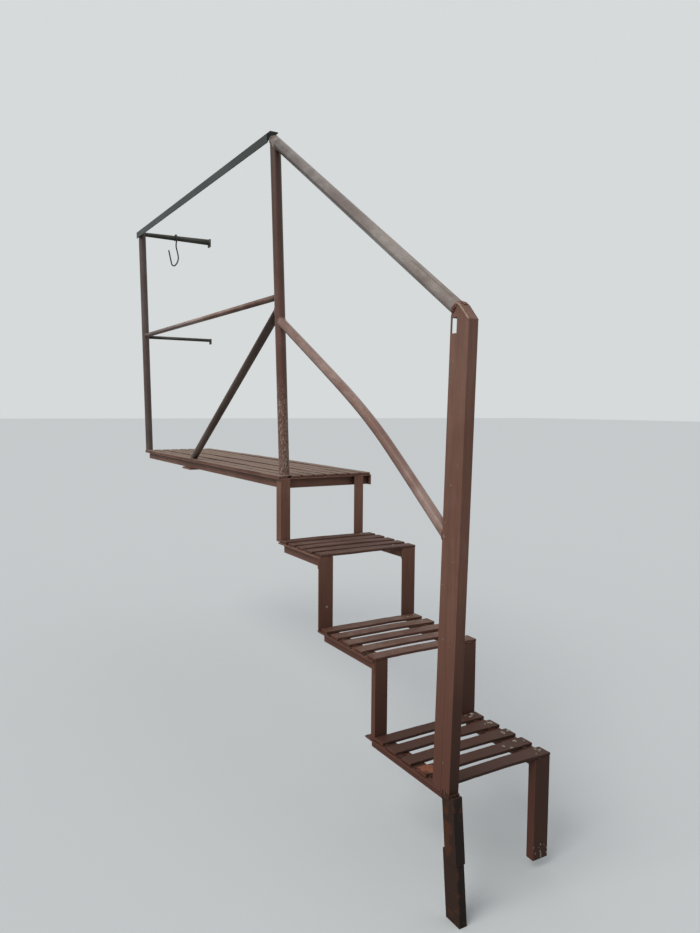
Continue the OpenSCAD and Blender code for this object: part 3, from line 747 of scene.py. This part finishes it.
spots = []
for number, count, scale in ((1, 3, 1), (2, 6, 1), (3, 20, 1.3)):
    low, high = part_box(f"step_{number}_slats")
    pitch = slat_pitch(low, high)
    for _ in range(count):
        slat_x = low.x + dice.randrange(slats_per_step) * pitch
        size = dice.uniform(0.0012, 0.0036) * scale
        back = abs(dice.gauss(0, 0.035))
        middle = (slat_x + dice.uniform(0.003, 0.032), high.y - 0.005 - back, high.z + size * 0.2)
        halves = (size * dice.uniform(0.8, 1.6), size * dice.uniform(0.8, 1.6), size * 0.6)
        spots.append((Vector(middle), halves))
low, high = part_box("inner_leg")
for _ in range(10):
    size = dice.uniform(0.0008, 0.0022)
    z = low.z + 0.004 + abs(dice.gauss(0, 0.022))
    middle = Vector((high.x, dice.uniform(low.y, high.y), z))
    spots.append((middle, (0.0008, size, size * dice.uniform(1, 2))))
for height, reach in (
    (0.06, 0.004), (0.31, -0.012), (0.47, 0.009), (0.62, -0.006), (0.66, 0.013),
    (0.3, 0.011), (0.545, -0.018), (0.86, -0.014), (0.42, -0.019),
):
    size = dice.uniform(0.0009, 0.0018)
    middle = newel_foot + newel_way * height + street_face + newel_side * reach
    spots.append((middle, (size, 0.0004, size * 1.2)))
low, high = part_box("riser_b_outer")
spots.append((Vector((high.x, low.y + 0.024, low.z + 0.062)), (0.0006, 0.0026, 0.0036)))
crumbs("plaster_crumbs", spots, plaster.holder)


# Rust scale: dark and orange lumps of rust and old weld spatter along the street edge of the
# steps, in the gaps between the slats.
spots = []
for number, count in ((1, 14), (2, 26), (3, 30)):
    low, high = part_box(f"step_{number}_slats")
    bar_low, bar_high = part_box(f"step_{number}_outer_bar")
    pitch = slat_pitch(low, high)
    for _ in range(count):
        gap_x = low.x + dice.randrange(slats_per_step - 1) * pitch + step_slat_width
        size = dice.uniform(0.001, 0.0028)
        x = gap_x + dice.uniform(0, pitch - step_slat_width)
        middle = Vector((x, bar_low.y + dice.uniform(0.002, 0.034), bar_high.z + size * 0.15))
        spots.append((middle, (size * 1.3, size * dice.uniform(1, 2), size * 0.6)))
crumbs("rust_scale", spots, leg_rust)


# Weld lumps: thick, uneven blobs where the handrail runs into the newel's head, and round the
# newel's foot, where the leg's angle is welded on under it.
spots = []
for reach, bulk in ((0.0128, 0.0034), (0.0085, 0.0046)):
    for point in ring(hand_end + rail_way * 0.0022, rail_way, reach):
        if point.y < hand_end.y + 0.001 or point.z > hand_end.z + 0.004:
            size = bulk * dice.uniform(0.8, 1.15)
            spots.append((point, (size * 1.1, size, size)))
for part in (0.2, 0.5, 0.8):
    point = hand_end.lerp(cap_ridge, part) + Vector((0, 0, 0.0095 * (1 - part)))
    spots.append((point, (0.0048, 0.0085, 0.004)))
leg_top, foot_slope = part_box("outer_leg_upper")[1].z, 0.12
for x, y in (
    (1.483, -0.3098), (1.488, -0.3103), (1.493, -0.31), (1.498, -0.3104), (1.503, -0.3101),
    (1.508, -0.31), (1.5108, -0.3065), (1.5104, -0.3015), (1.5108, -0.297), (1.5104, -0.292),
    (1.5106, -0.288),
):
    size = dice.uniform(0.0026, 0.0036)
    z = leg_top - 0.0008 - (x - leg_start) * foot_slope + dice.uniform(-0.0008, 0.0008)
    spots.append((Vector((x, y, z)), (size * 1.2, size * 0.9, size * 1.6)))
crumbs("weld_lumps", spots, newel_coat)
